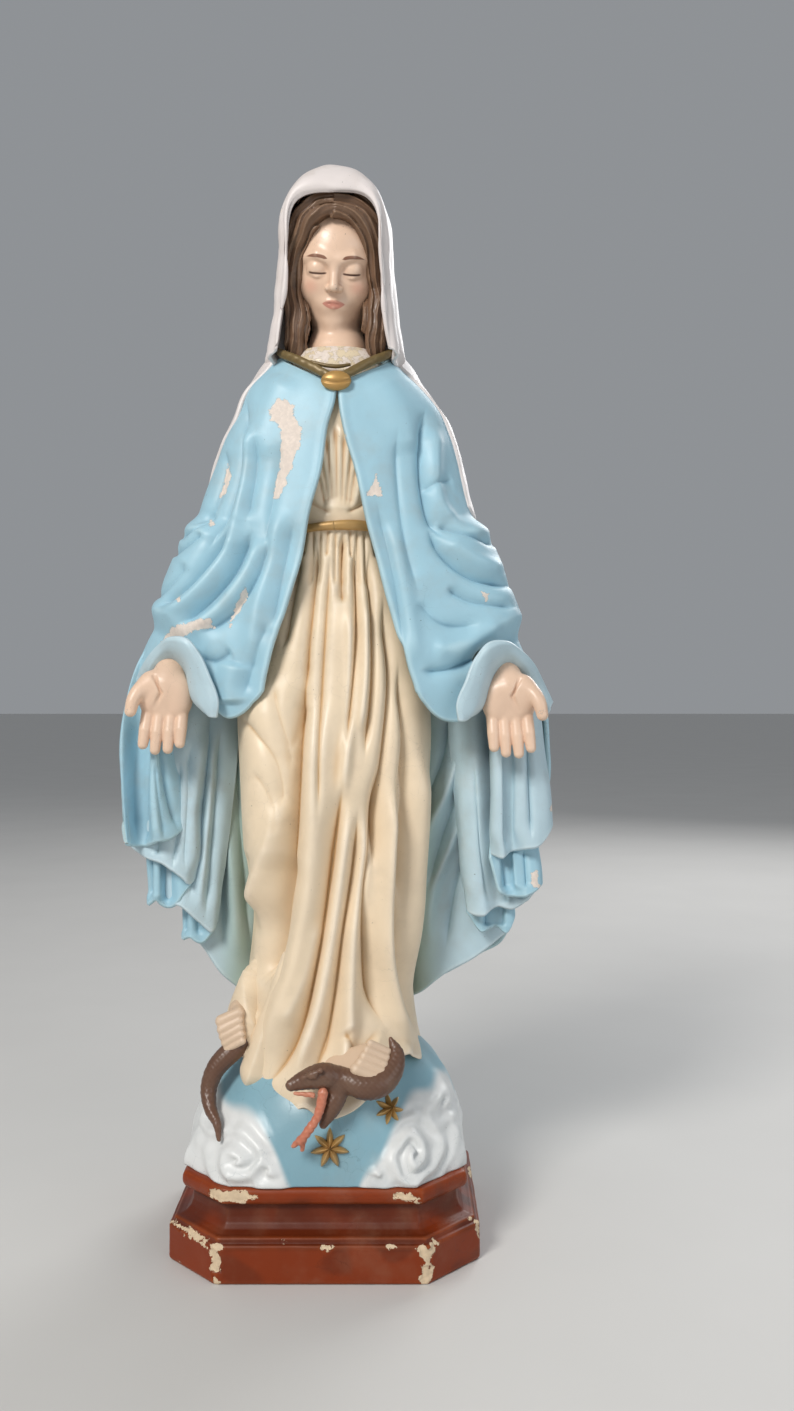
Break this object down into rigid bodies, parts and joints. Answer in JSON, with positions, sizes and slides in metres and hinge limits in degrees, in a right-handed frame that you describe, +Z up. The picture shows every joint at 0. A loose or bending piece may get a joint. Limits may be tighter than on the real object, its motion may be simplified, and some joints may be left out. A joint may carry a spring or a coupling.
{
  "type": "religious statue",
  "caption": "Free-standing painted plaster figure of a veiled woman in gown and mantle, hands open, standing on a globe with a serpent, on an octagonal moulded plinth",
  "frame": {"origin": "centre of the plinth's underside, where the statue rests", "axes": "+Z up, -Y the front of the figure, +X the viewer's right; left and right in the node names are the viewer's"},
  "size_m": [0.253, 0.154, 0.6],
  "materials": {
    "plinth": "reddish-brown painted plaster, satin, chipped to the plaster at the edges",
    "globe": "blue painted plaster, satin, crackled",
    "cloud": "white painted plaster, satin",
    "gold": "gold painted plaster, dulled",
    "serpent": "dark brown painted plaster, satin",
    "tongue": "orange-red painted plaster, satin",
    "skin": "flesh-coloured painted plaster, satin",
    "gown": "cream painted plaster with tan shading, satin, crackled",
    "mantle": "light blue painted plaster, satin, crackled and chipped",
    "lining": "pale grey-blue painted plaster, satin",
    "veil": "white painted plaster, satin, dusty",
    "hair": "brown painted plaster, satin",
    "iron": "bare iron rod",
    "dowel_wood": "plain softwood dowel"
  },
  "bodies": {
    "root": {"plinth": "plinth", "globe": "globe", "left_cloud": "cloud", "right_cloud": "cloud", "star_low": "gold", "star_high": "gold", "serpent_body": "serpent", "serpent_head": "serpent", "serpent_tail": "serpent", "serpent_tongue": "tongue", "right_foot": "skin", "left_foot": "skin", "gown_skirt": "gown", "gown_bodice": "gown", "girdle": "gold", "neck_dowel": "dowel_wood", "head": "skin", "hair_cap": "hair", "hair_left": "hair", "hair_right": "hair", "veil_hood": "veil", "veil_fall": "veil", "brooch": "gold", "neckline_left": "gold", "neckline_right": "gold", "left_hand_dowel": "iron", "right_hand_dowel": "iron", "left_hand": "skin", "right_hand": "skin", "left_cuff": "lining", "right_cuff": "lining", "mantle_back": "mantle", "mantle_left": "mantle", "mantle_right": "mantle", "left_drape": "mantle", "right_drape": "mantle"}
  },
  "joints": []
}
